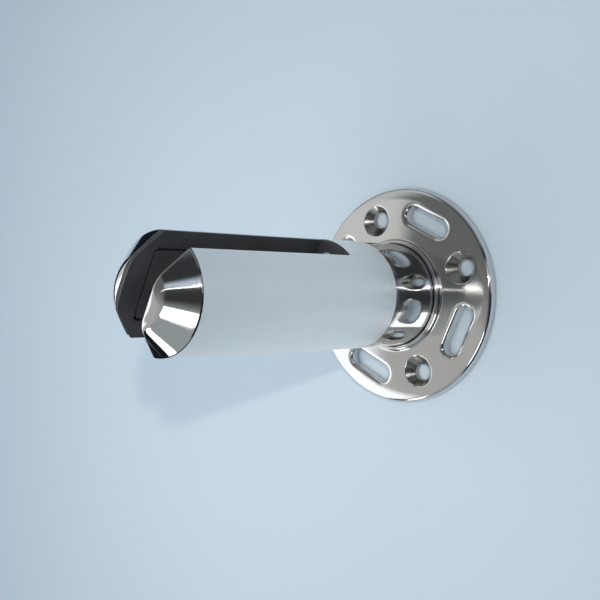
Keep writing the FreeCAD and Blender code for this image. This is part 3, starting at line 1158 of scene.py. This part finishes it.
# What the polished steel mirrors. CEILING: low and high x and y per unit of height above the part,
# softness along x and y, colour, strength. WALLS: azimuth and half width, lowest and highest
# elevation and softness in degrees, colour, strength. Later entries lie over earlier ones.
DARK_LOW = (0.008, 0.010, 0.016)
DARK_HIGH = (0.040, 0.043, 0.047)
CEILING = (
    ("grey_side", (-0.35, 0.75), (-0.6, 1.3), 0.4, 0.5, (0.96, 1.0, 1.0), 0.16),
    ("green_part", (-2.4, -0.05), (-1.3, 0.2), 0.5, 0.5, (0.90, 0.97, 0.96), 0.42),
    ("warm_part", (-2.4, -0.19), (-0.3, 1.5), 0.14, 0.8, (1.0, 0.99, 0.965), 0.52),
)
WALLS = (
    ("right_haze", 20, 42, 6, 32, 10.0, (0.96, 1.0, 1.0), 0.26),
    ("side_haze", 70, 26, 12, 46, 12.0, (0.97, 1.0, 1.0), 0.62),
    ("back_haze", 100, 12, 6, 53, 6.0, (1.0, 1.0, 0.98), 0.72),
    ("back_windows", 136, 26, 4, 46, 6.0, (0.95, 0.98, 1.0), 1.5),
    ("green_wall", 203, 20, 4, 42, 5.0, (0.85, 0.96, 0.97), 0.42),
    ("side_window", 180, 6, 7, 30, 2.0, (0.95, 0.98, 1.0), 3.2),
    ("window", 242, 17, 38, 51, 1.5, (0.95, 0.98, 1.0), 3.0),
    ("lamp_haze", 320, 6, 34, 54, 14.0, (0.75, 0.85, 1.0), 0.85),
    ("low_window", 312, 14, 1, 20, 4.0, (1.0, 0.98, 0.95), 0.6),
    ("strip_lamp", 311, 0.5, 15, 75, 0.7, (1.0, 0.99, 0.98), 6.0),
)
PALE_WORLD = (0.32, 0.38, 0.46)
PALE_BACKDROP = (0.55, 0.65, 0.74)


class Room(Nodes):
    """Short calls for the world's node tree, by direction."""

    def along(self, *axis):
        return self.dot(self.tree.nodes["Place"].outputs["Generated"], axis)

    def band(self, value, low, high, softness):
        """1 where value lies between low and high, falling to 0 across each edge."""
        half = (high - low) / 2
        away = self.math("ABSOLUTE", self.math("SUBTRACT", value, (low + high) / 2))
        made = self.node("MapRange", interpolation_type="SMOOTHSTEP", Value=away,
                         From_Min=half + softness / 2, From_Max=half - softness / 2)
        return made.outputs["Result"]

    def mix(self, mask, first, second):
        made = self.node("Mix", data_type="RGBA", Factor=mask)
        for socket, value in ((made.inputs[6], first), (made.inputs[7], second)):
            self.feed(socket, (*value, 1) if isinstance(value, tuple) else value)
        return made.outputs[2]

    def lay(self, below, across, up, tint, strength):
        """Puts a coloured patch, where two bands meet, over what is below."""
        return self.mix(self.math("MULTIPLY", across, up), below, tuple(c * strength for c in tint))


def room_light():
    """World that the steel mirrors as a room, and that is plain to the camera and to matt surfaces."""
    world = bpy.data.worlds.new("room")
    bpy.context.scene.world = world
    world.use_nodes = True
    world.node_tree.nodes.clear()
    room = Room(world.node_tree)
    room.node("TexCoord", name="Place")
    height = room.along(0, 0, 1)
    rise = room.math("DEGREES", room.math("ARCSINE", height))
    above = room.math("MAXIMUM", height, 0.001)
    x = room.math("DIVIDE", room.along(1, 0, 0), above)
    y = room.math("DIVIDE", room.along(0, 1, 0), above)
    colour = room.mix(room.band(rise, 16, 200, 8), DARK_LOW, DARK_HIGH)
    for _, x_range, y_range, x_soft, y_soft, tint, strength in CEILING:
        across = room.band(x, *x_range, x_soft)
        colour = room.lay(colour, across, room.band(y, *y_range, y_soft), tint, strength)
    for _, azimuth, half, low, high, softness, tint, strength in WALLS:
        a = math.radians(azimuth)
        ahead = room.along(math.cos(a), math.sin(a), 0)
        aside = room.along(-math.sin(a), math.cos(a), 0)
        turn = room.math("DEGREES", room.math("ARCTAN2", aside, ahead))
        across = room.band(turn, -half, half, softness)
        colour = room.lay(colour, across, room.band(rise, low, high, softness), tint, strength)
    path = room.node("LightPath")
    plain = room.mix(path.outputs["Is Camera Ray"], PALE_WORLD, PALE_BACKDROP)
    colour = room.mix(path.outputs["Is Glossy Ray"], plain, colour)
    room.node("OutputWorld", Surface=room.node("Background", Color=colour).outputs[0])


def disk_light(name, place, target, size, energy, colour, mirrored):
    """Round light that either lights matt surfaces or is mirrored by the steel, not both."""
    light = bpy.data.lights.new(name, "AREA")
    light.shape = "DISK"
    light.size = size
    light.energy = energy
    light.color = colour
    lamp = bpy.data.objects.new(name, light)
    lamp.location = place
    lamp.rotation_euler = (Vector(target) - lamp.location).to_track_quat("-Z", "Y").to_euler()
    lamp.visible_glossy = mirrored
    lamp.visible_diffuse = not mirrored
    bpy.context.scene.collection.objects.link(lamp)


def lights():
    """A wide soft light above the part, and a small lamp for the post's shadow and the steel's glints."""
    disk_light("soft_top", SOFT_PLACE, SOFT_TARGET, SOFT_SIZE, 1.05, (1.0, 0.96, 0.94), False)
    disk_light("lamp", LAMP_PLACE, LAMP_TARGET, LAMP_SIZE, 5.3, (1.0, 0.86, 0.70), False)
    disk_light("lamp_glint", LAMP_PLACE, LAMP_TARGET, LAMP_SIZE, 3.2, (1.0, 0.98, 0.96), True)


def camera():
    """The camera looks down on the post, rolled so that the post's top points to the left."""
    data = bpy.data.cameras.new("camera")
    data.lens = 64.3
    data.sensor_width = 36.0
    data.clip_start = 0.01
    view = bpy.data.objects.new("camera", data)
    place = Vector((0.13735, -0.28430, 0.42779))
    back = -Vector((-0.29541, 0.60003, -0.74344)).normalized()
    up = Vector((0.89774, 0.44052, -0.00117))
    right = up.cross(back).normalized()
    turn = Matrix((right, back.cross(right), back)).transposed()
    view.matrix_world = Matrix.Translation(place) @ turn.to_4x4()
    bpy.context.scene.collection.objects.link(view)
    bpy.context.scene.camera = view


pale_floor()
room_light()
lights()
camera()
bpy.context.scene.view_settings.view_transform = "Standard"

for label, (low, high) in (("cad", cad_box), ("visual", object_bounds())):
    list(map(float, low))
    list(map(float, high))
